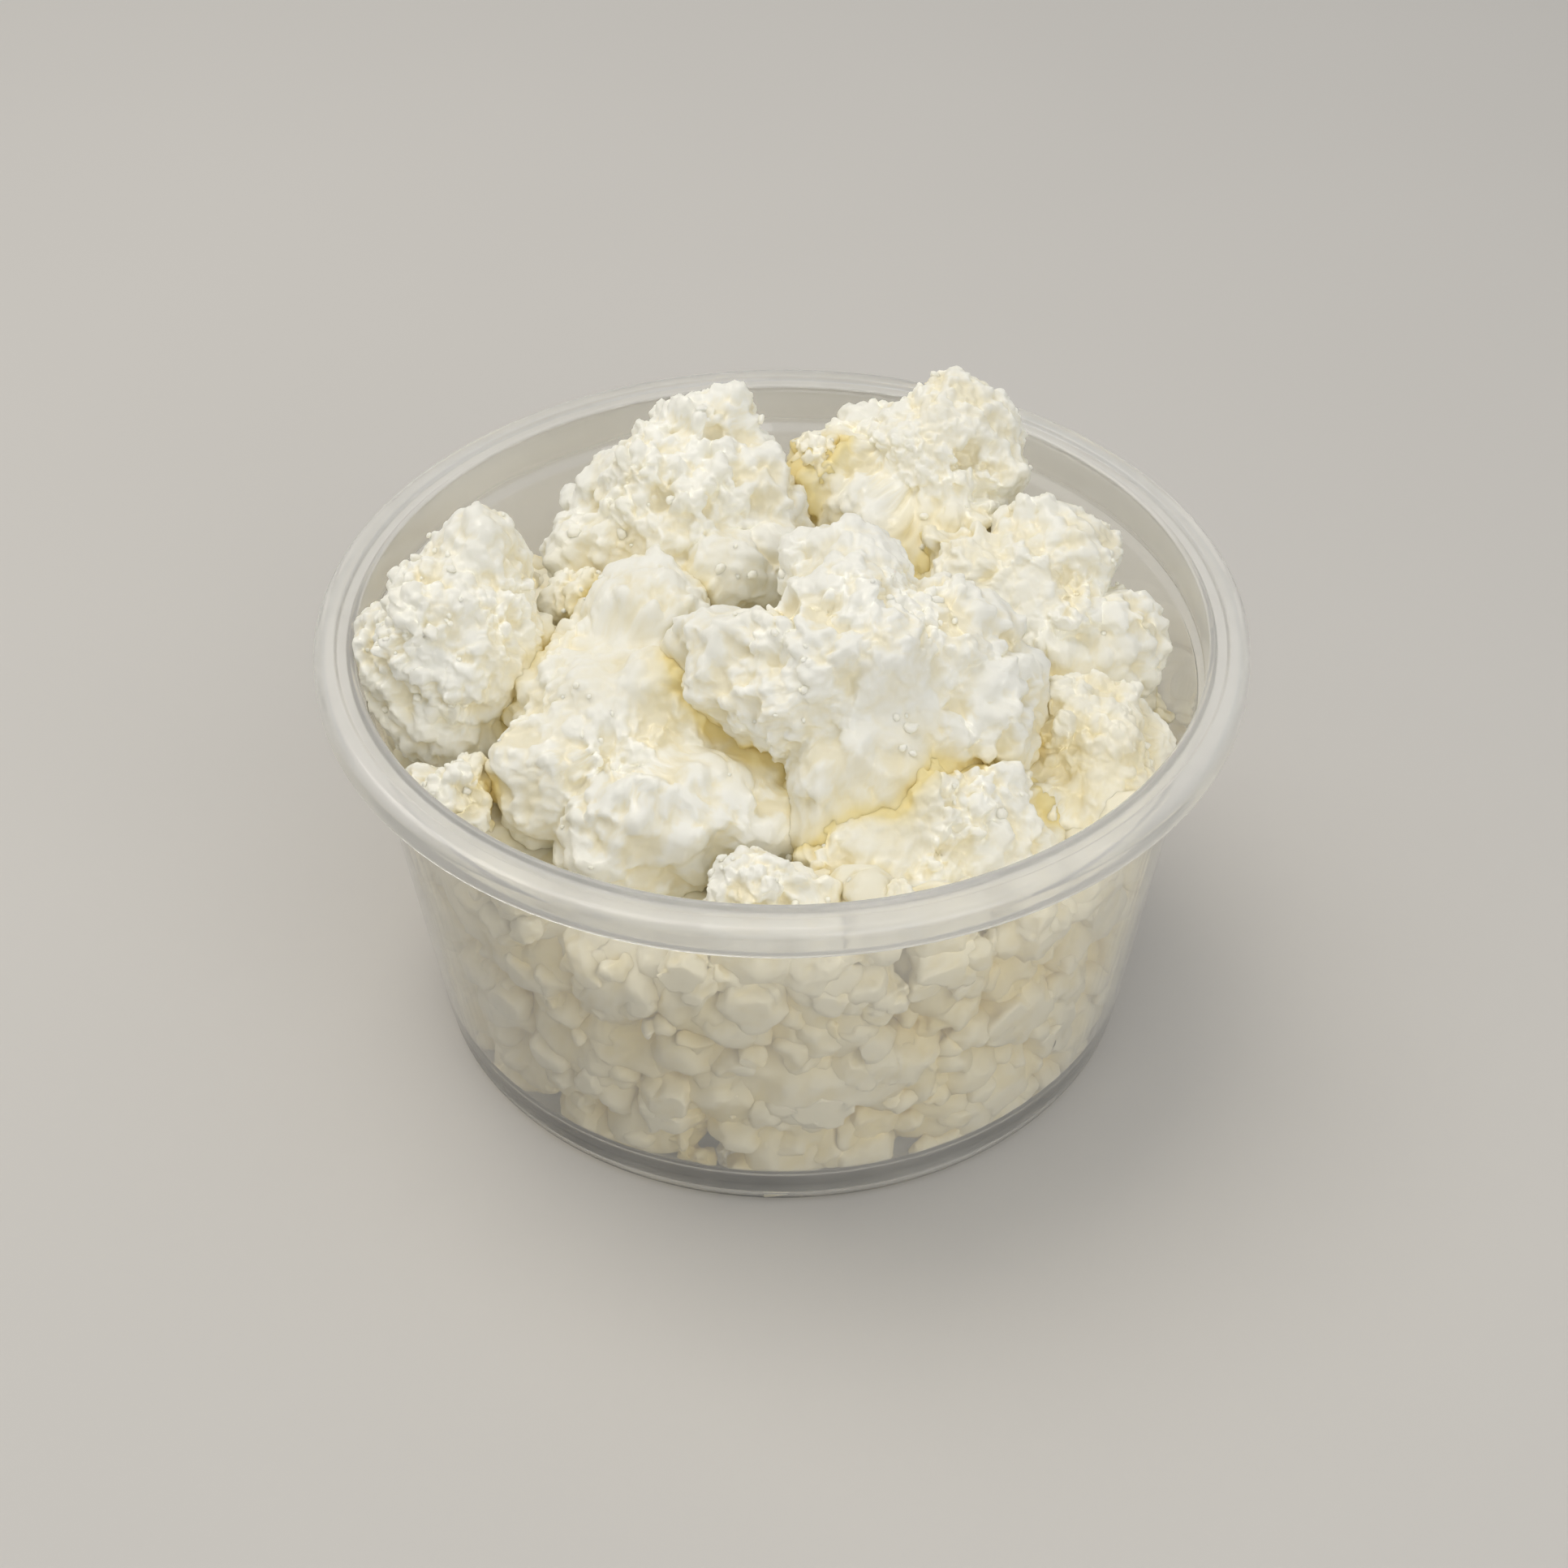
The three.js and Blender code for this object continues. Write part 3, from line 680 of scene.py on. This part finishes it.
def turned(profile, segments):
    """A profile that starts and ends on the axis, carried round it as rings of points."""
    ring = profile[1:-1]
    turn = 2 * np.pi * np.arange(segments) / segments
    points = np.stack([
        ring[:, None, 0] * np.cos(turn), ring[:, None, 0] * np.sin(turn),
        np.broadcast_to(ring[:, None, 1], (len(ring), segments))], -1).reshape(-1, 3)
    ends = np.array([[0, 0, profile[0][1]], [0, 0, profile[-1][1]]])
    points = np.concatenate([points, ends])
    at = np.arange(len(ring) * segments).reshape(len(ring), segments)
    nxt = np.roll(at, -1, axis=1)
    quads = np.stack([at[:-1], nxt[:-1], nxt[1:], at[1:]], -1).reshape(-1, 4)
    first, last = len(points) - 2, len(points) - 1
    fan = np.stack([np.full(segments, first), nxt[0], at[0]], -1)
    cap = np.stack([np.full(segments, last), at[-1], nxt[-1]], -1)
    return points, [quads, np.concatenate([fan, cap])]


def tub_profile():
    """The tub's section: underside, foot ring, wall, ledge, rim and back down inside.

    Each corner is its radius, its height and the radius of its rounding.
    """
    top = TUB_HEIGHT
    under = top - RIM_DROP
    skirt = top - SKIRT_DROP
    inner = COLLAR_RADIUS - SKIN
    return rounded([
        (0, FLOOR_LIFT, 0),
        (RING_INNER_RADIUS - 1, FLOOR_LIFT, 0.6),
        (RING_INNER_RADIUS, 0, 0.4),
        (FOOT_RADIUS, 0, 1.8),
        (FOOT_RADIUS, FOOT_HEIGHT, 0.2),
        (WALL_FOOT_RADIUS, FOOT_HEIGHT + 0.4, 0.3),
        (WALL_TOP_RADIUS, LEDGE_HEIGHT, 0.4),
        (COLLAR_RADIUS - 0.1, LEDGE_HEIGHT + LEDGE_RISE, 0.4),
        (COLLAR_RADIUS, under, 0.5),
        (RIM_RADIUS - 1.2, under, 0.6),
        (RIM_RADIUS - SKIN, skirt, 0.2),
        (RIM_RADIUS, skirt, 0.3),
        (RIM_RADIUS, top, 1.4),
        (RIM_RADIUS - 2.6, top, 0.4),
        (RIM_RADIUS - 3.0, top - GROOVE_DROP, 0.3),
        (inner + 1.0, top - GROOVE_DROP, 0.3),
        (inner + 0.7, top - BEAD_DROP, 0.3),
        (inner, top - BEAD_DROP, 0.35),
        (inner - 0.1, LEDGE_HEIGHT + LEDGE_RISE + SKIN, 0.4),
        (WALL_TOP_RADIUS - SKIN, LEDGE_HEIGHT + SKIN, 0.4),
        (WALL_FOOT_RADIUS - SKIN, FOOT_HEIGHT + 0.4, 0.4),
        (FOOT_RADIUS - SKIN, SKIN, 1.3),
        (RING_INNER_RADIUS + SKIN, SKIN, 0.3),
        (RING_INNER_RADIUS - 0.5, FLOOR_LIFT + SKIN, 0.4),
        (0, FLOOR_LIFT + SKIN, 0),
    ])


def build_tub(material):
    """The tub: its section, split into short stretches and turned about its axis."""
    points, faces = turned(split_long(tub_profile(), TUB_STRETCH), TUB_SEGMENTS)
    piece = mesh_piece("tub_shell", points, faces, material)
    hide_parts("tub")


# ---------------------------------------------------------------------------- cheese

def outside_of(points, middle, lobes):
    """Roughly how far points lie outside a crumb: their distance less its reach there."""
    away = points - middle
    distance = np.linalg.norm(away, axis=1)
    return distance - reach(away / np.maximum(distance, 1e-6)[:, None], lobes)


SHAPES = {name: crumb_lobes(crumb) for name, crumb in CRUMBS.items()}


def painted_cleft_shade(points, own):
    """Painted yellow shade on the faces: where another crumb lies close by, and at the spots of painted
    shade.
    """
    nearest = np.full(len(points), 99.0)
    for name, (middle, lobes) in SHAPES.items():
        if name == own:
            continue
        span = max(np.linalg.norm(centre) + radius for centre, radius in lobes)
        close = np.linalg.norm(points - middle, axis=1) < span + CLEFT_SEARCH
        if close.any():
            gap = outside_of(points[close], middle, lobes)
            nearest[close] = np.minimum(nearest[close], gap)
    # Painted shade: the closer another crumb lies, the yellower the face.
    shade_yellow = CLEFT_MOST * np.exp(-np.maximum(nearest, 0) / CLEFT_WIDTH)
    for x, y, z, radius, much in SHADE_SPOTS:
        far = np.linalg.norm(points - np.array([x, y, z]), axis=1) / radius
        shade_yellow = np.maximum(shade_yellow, much * np.clip(SPOT_EDGE * (1 - far), 0, 1))
    return shade_yellow


def build_crumb(name, crumb, material):
    """A large crumb: a ball of faces, pushed out to its lobes' joined reach and broken."""
    middle, lobes = SHAPES[name]
    directions, quads = ball(crumb["steps"])
    points = middle + directions * reach(directions, lobes)[:, None]
    shade_yellow = painted_cleft_shade(points, name)
    breaks = [b for b in BREAKS if b[0] < WIDEST_BREAK * crumb["lobes"][0][3]]
    spots = SMOOTH_SPOTS.get(name, ())
    points, relief = crumbled(points, [quads], crumb["seed"], breaks, spots)
    points = kept_inside(points)
    piece = mesh_piece(
        name + "_curd", points, [quads], material, [("relief", relief), ("shade_yellow", shade_yellow)])
    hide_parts(name)
    return points, normals_of(points, [quads])


def stretches(seed, k, least, span):
    """Three shares for each k, one along each axis, from the least over a span."""
    return least + span * np.stack([draw(seed, k), draw(seed + 1, k), draw(seed + 2, k)], -1)


def build_loose(faces_on_top, material):
    """Loose crumbs strewn on the faces that look up, thicker in some patches than others.

    Each is a ball of two steps, its axes stretched by random shares and its corners moved
    by noise, sunk a share of its radius into the face under it.
    """
    points = np.concatenate([p for p, _ in faces_on_top])
    normals = np.concatenate([n for _, n in faces_on_top])
    wide, narrow = LOOSE_PATCHES
    patches = smooth_noise(points, wide, 301)[:, 0]
    patches = patches + LOOSE_NARROW * smooth_noise(points, narrow, 302)[:, 0]
    least, most = LOOSE_RADII
    inside = np.hypot(points[:, 0], points[:, 1]) < wall_radius(points[:, 2]) - 2 * most
    open_faces = np.flatnonzero((normals[:, 2] > LOOSE_TILT) & (patches > LOOSE_FROM) & inside)
    k = np.arange(LOOSE_COUNT)
    chosen = open_faces[(draw(303, k) * len(open_faces)).astype(int)]
    radius = least + (most - least) * draw(304, k) ** 3
    directions, quads = ball(2)
    stretch = stretches(305, k, LOOSE_LEAST, LOOSE_RANGE)
    centres = points[chosen] + normals[chosen] * (radius * (1 - LOOSE_SINK))[:, None]
    grid = centres[:, None] + directions * (stretch * radius[:, None])[:, None]
    roughness = smooth_noise(grid, LOOSE_ROUGH_SIZE, 308)
    grid += LOOSE_ROUGHNESS * radius[:, None, None] * roughness
    corners = quads + (k * len(directions))[:, None, None]
    grid, corners = grid.reshape(-1, 3), corners.reshape(-1, 4)
    piece = mesh_piece("loose_crumbs", grid, [corners], material, [
        ("relief", np.full(len(grid), LOOSE_RELIEF)), ("shade_yellow", np.zeros(len(grid)))])


def ring_lobes(ring, ring_index):
    """The balls of one ring of the bed, spread round the wall by a seeded rule."""
    lobes = []
    for i in range(ring["count"]):
        seed = 100 * (ring_index + 1) + i
        size = ring["radius"] * (1 + BED_UNEVENNESS * (2 * draw(seed, 7) - 1))
        step = 360 / ring["count"] * (i + BED_UNEVENNESS * (2 * draw(seed, 8) - 1))
        angle = np.radians(ring["turn"] + step)
        z = max(ring["height"] + BED_WANDER * (2 * draw(seed, 9) - 1), FLOOR_LIFT + SKIN + size)
        r = wall_radius(z) - size + WALL_PRESS
        lobes.append((r * np.cos(angle), r * np.sin(angle), z, size))
    return lobes


def pillow_lobes():
    """The bed's swells under the crumbs that lie on it."""
    lobes = []
    for crumb in CRUMBS.values():
        x, y, z, radius = crumb["lobes"][0]
        pillow = crumb["pillow"]
        if pillow > 0:
            height = z - radius - (1 - PILLOW_OVERLAP) * pillow
            lobes.append((LEAN * x, LEAN * y, height, pillow))
    return lobes


def core_reach(directions):
    """How far the bed's inner mass, an upright round block, reaches along directions."""
    side = BED_CORE["radius"] / np.maximum(np.hypot(directions[:, 0], directions[:, 1]), 1e-6)
    up = BED_CORE["top"] - BED_MIDDLE[2]
    down = BED_MIDDLE[2] - BED_CORE["bottom"]
    height = np.where(directions[:, 2] > 0, up, down)
    return np.minimum(side, height / np.maximum(np.abs(directions[:, 2]), 1e-6))


def bed_grid():
    """Directions and faces of a ball of rows and turns, with most rows along its waist.

    The rows' elevations run evenly between fixed knots, closer together from -34 degrees
    up, where the bed shows.  Each pole is one point with a fan.
    """
    share = np.arange(1, BED_ROWS) / BED_ROWS
    elevation = np.radians(np.interp(share, [0, 0.1, 0.55, 1], [-90, -34, 31, 90]))[:, None]
    turn = 2 * np.pi * np.arange(BED_TURNS) / BED_TURNS
    level, up = np.cos(elevation), np.sin(elevation)
    directions = np.stack([
        level * np.cos(turn), level * np.sin(turn), np.broadcast_to(up, (len(up), BED_TURNS))], -1)
    poles = np.array([[0, 0, -1.0], [0, 0, 1.0]])
    points = np.concatenate([directions.reshape(-1, 3), poles])
    at = np.arange((BED_ROWS - 1) * BED_TURNS).reshape(BED_ROWS - 1, BED_TURNS)
    after = np.roll(at, -1, axis=1)
    quads = np.stack([at[:-1], after[:-1], after[1:], at[1:]], -1).reshape(-1, 4)
    low, high = len(points) - 2, len(points) - 1
    fans = np.concatenate([
        np.stack([np.full(BED_TURNS, low), after[0], at[0]], -1),
        np.stack([np.full(BED_TURNS, high), at[-1], after[-1]], -1)])
    return points, [quads, fans]


def bed_reach(directions):
    """How far the bed reaches: the most of its core, rings, pillows and mounds."""
    balls = [lobe for index, ring in enumerate(BED_RINGS) for lobe in ring_lobes(ring, index)]
    balls += pillow_lobes() + MOUNDS
    lobes = [(np.array(b[:3]) - BED_MIDDLE, b[3]) for b in balls]
    return np.maximum(core_reach(directions), reach(directions, lobes))


def build_bed(material):
    """The bed under the crumbs: a ball of faces, pushed out to its reach and broken."""
    directions, faces = bed_grid()
    points = BED_MIDDLE + directions * bed_reach(directions)[:, None]
    points = kept_inside(points, BED_STAND_OFF)
    points, relief = crumbled(points, faces, BED_SEED, BED_BREAKS)
    points = kept_inside(points)
    piece = mesh_piece("bed_curd", points, faces, material, [
        ("relief", relief), ("shade_yellow", shade_behind_wall(points))])
    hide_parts("feta_bed")


def shade_behind_wall(points):
    """How yellow the bed is painted: least at the wall, most a few millimetres behind it, where the
    added yellow is painted shade.

    Its top is paler again, over a few millimetres of height.
    """
    behind = wall_radius(points[:, 2]) - np.hypot(points[:, 0], points[:, 1])
    # Painted shade: the further behind the wall, the yellower.
    painted_yellow = BED_TONE + BED_SHADE * np.clip(behind / BED_CLEFT, 0, 1)
    top = np.clip((points[:, 2] - PALE_FROM) / (PALE_TO - PALE_FROM), 0, 1)
    return painted_yellow + top * (TOP_YELLOW - painted_yellow)


def under_free_spaces(points, count):
    """Lowers each crumb, a run of count points, until it is under the free spaces over it."""
    crumbs = points.reshape(-1, count, 3).copy()
    for (left, front, floor), (right, back) in FREE_SPACES:
        x, y, z = np.moveaxis(crumbs, -1, 0)
        over = (x > left) & (x < right) & (y > front) & (y < back)
        rise = np.where(over, z - floor, 0).max(axis=1)
        crumbs[..., 2] -= np.maximum(rise, 0)[:, None]
    return crumbs.reshape(-1, 3)


def build_small_crumbs(name, steps, centres, sizes, seed, painted_yellow, material):
    """Small crumbs of the bed: balls stretched by given radii along each axis, and crumbled.

    They stay inside the tub and under the free spaces.  Their painted yellow shade is a function of the
    points.
    """
    directions, quads = ball(steps)
    points = (centres[:, None] + directions * sizes[:, None]).reshape(-1, 3)
    middles = np.repeat(centres, len(directions), axis=0)
    starts = np.arange(len(centres)) * len(directions)
    faces = (quads + starts[:, None, None]).reshape(-1, 4)
    points, relief = crumbled(points, [faces], seed, SMALL_BREAKS, middles=middles)
    points = kept_inside(under_free_spaces(points, len(directions)))
    piece = mesh_piece(name, points, [faces], material, [
        ("relief", relief), ("shade_yellow", painted_yellow(points))])
    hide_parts("feta_bed")


def build_top_crumbs(material):
    """Crumbs strewn over the bed's top, where no larger crumb covers it.

    Directions up from the bed's middle are drawn at random, and each crumb is sunk a
    share of its radius into the bed's face there.
    """
    k = np.arange(TOP_COUNT)
    up = TOP_FROM + (1 - TOP_FROM) * draw(TOP_SEED, k)
    turn, level = 2 * np.pi * draw(TOP_SEED + 1, k), np.sqrt(1 - up ** 2)
    ways = np.stack([level * np.cos(turn), level * np.sin(turn), up], -1)
    least, most = TOP_RADII
    radius = least + (most - least) * draw(TOP_SEED + 2, k) ** 2
    centres = BED_MIDDLE + ways * (bed_reach(ways) - TOP_SINK * radius)[:, None]
    room = np.min([outside_of(centres, *shape) for shape in SHAPES.values()], axis=0)
    off_wall = wall_radius(centres[:, 2]) - np.hypot(centres[:, 0], centres[:, 1])
    kept = (room > -TOP_HIDDEN * radius) & (off_wall > TOP_FROM_WALL * radius)
    sizes = stretches(TOP_SEED + 3, k, STRETCH_LEAST, STRETCH_RANGE) * radius[:, None]
    build_small_crumbs(
        "top_crumbs", TOP_STEPS, centres[kept], sizes[kept], TOP_SEED + 6,
        lambda points: np.full(len(points), TOP_YELLOW), material)


def build_wall_crumbs(name, layer, material):
    """Crumbs at the wall in rows, which overlap each other and the bed.

    Each is at its row's height give or take, and a random share of its radius off the
    wall.  Where it would pass the wall, it is flat against it.
    """
    seed = layer["seed"]
    nearest, furthest = layer["stand_off"]
    centres, sizes = [], []
    for row, (height, count, middle_radius) in enumerate(layer["rows"]):
        k = np.arange(count) + 100 * row
        radius = middle_radius * (WALL_LEAST + WALL_RANGE * draw(seed, k))
        place = np.arange(count) + 0.5 * row + WALL_TURN * draw(seed + 1, k)
        turn = 2 * np.pi * place / count
        z = height + WALL_WANDER * (2 * draw(seed + 2, k) - 1)
        z = np.maximum(z, SKIN + FLOOR_LIFT + WALL_FLOOR * radius)
        off = wall_radius(z) - radius * (nearest + (furthest - nearest) * draw(seed + 7, k))
        middles = np.stack([off * np.cos(turn), off * np.sin(turn), z], -1)
        kept = draw(seed + 3, k) > (LOW_ROW_GAPS if row == 0 else 0)
        if height > FRONT_ONLY_FROM:
            kept = middles[:, 1] < FRONT_REACH
        stretch = stretches(seed + 4, k, STRETCH_LEAST, STRETCH_RANGE)
        centres.append(middles[kept])
        sizes.append((stretch * radius[:, None])[kept])
    build_small_crumbs(
        name, layer["steps"], np.concatenate(centres), np.concatenate(sizes), seed,
        shade_behind_wall, material)


# ------------------------------------------------------------------ stage and camera

FLOOR_REACH = 1500.0


def build_floor():
    """A plain square floor, far wider than the tub."""
    size = FLOOR_REACH
    points = np.array([[-size, -size, 0], [size, -size, 0], [size, size, 0], [-size, size, 0]])
    mesh = bpy.data.meshes.new("floor")
    mesh.from_pydata((points * METRE).tolist(), [], [(0, 1, 2, 3)])
    mesh.materials.append(floor_material())
    floor = bpy.data.objects.new("floor", mesh)
    bpy.context.scene.collection.objects.link(floor)


def area_light(name, place, target, size, power, colour):
    """A soft square lamp at a place in millimetres, turned towards a target."""
    lamp = bpy.data.lights.new(name, "AREA")
    lamp.shape = "SQUARE"
    lamp.size = size * METRE
    lamp.energy = power
    lamp.color = linear(colour)[:3]
    holder = bpy.data.objects.new(name, lamp)
    holder.location = Vector(place) * METRE
    holder.rotation_euler = (Vector(target) - Vector(place)).to_track_quat("-Z", "Y").to_euler()
    bpy.context.scene.collection.objects.link(holder)


HEAP = (0, 0, 40)  # what the lamps point at
WORLD_STRENGTH = 0.52
KEY_PLACE, KEY_SIZE, KEY_POWER = (-200, 140, 560), 420, 1.34
FILL_PLACE, FILL_SIZE, FILL_POWER = (300, -520, 420), 500, 1.2


def build_studio():
    """Soft light: a pale sky, a key lamp overhead and a weaker one from the front right."""
    world = bpy.data.worlds.new("studio")
    world.use_nodes = True
    sky = world.node_tree.nodes["Background"].inputs
    sky["Color"].default_value = linear("#f2f4f8")
    sky["Strength"].default_value = WORLD_STRENGTH
    bpy.context.scene.world = world
    area_light("key_overhead", KEY_PLACE, HEAP, KEY_SIZE, KEY_POWER, "#fffaf4")
    area_light("fill_front", FILL_PLACE, HEAP, FILL_SIZE, FILL_POWER, "#f8f8fb")
    bpy.context.scene.view_settings.view_transform = "Standard"


# The photo's camera, fitted to the rim, the wall and the foot of the tub.
IMAGE_WIDTH = 1932
FOCAL_PIXELS = 3743.9
CAMERA_DISTANCE = 400.0
CAMERA_DOWN = 40.02
CAMERA_ROLL = 0.136
CAMERA_TARGET = (0.2, 0.0, 30.55)
SENSOR_WIDTH = 36.0
CLIP_NEAR, CLIP_FAR = 0.01, 20.0  # in metres


def build_camera():
    """The camera, which looks down at its target from the front, a little rolled."""
    data = bpy.data.cameras.new("camera")
    data.sensor_width = SENSOR_WIDTH
    data.lens = FOCAL_PIXELS * SENSOR_WIDTH / IMAGE_WIDTH
    data.clip_start, data.clip_end = CLIP_NEAR, CLIP_FAR
    camera = bpy.data.objects.new("camera", data)
    down = np.radians(CAMERA_DOWN)
    back = Vector((0, -np.cos(down), np.sin(down)))
    turn = (-back).to_track_quat("-Z", "Y").to_matrix().to_4x4()
    roll = Matrix.Rotation(-np.radians(CAMERA_ROLL), 4, "Z")
    place = (Vector(CAMERA_TARGET) + back * CAMERA_DISTANCE) * METRE
    camera.matrix_world = Matrix.Translation(place) @ turn @ roll
    bpy.context.scene.collection.objects.link(camera)
    bpy.context.scene.camera = camera


# ---------------------------------------------------------------------------- scene

build_camera()
build_studio()
build_floor()

polypropylene = polypropylene_material()
feta = feta_material()
build_tub(polypropylene)
tops = [build_crumb(crumb_name, crumb_sizes, feta) for crumb_name, crumb_sizes in CRUMBS.items()]
build_loose(tops, feta)
build_bed(feta)
build_top_crumbs(feta)
for wall_name, wall_layer in WALL_CRUMBS.items():
    build_wall_crumbs(wall_name, wall_layer, feta)
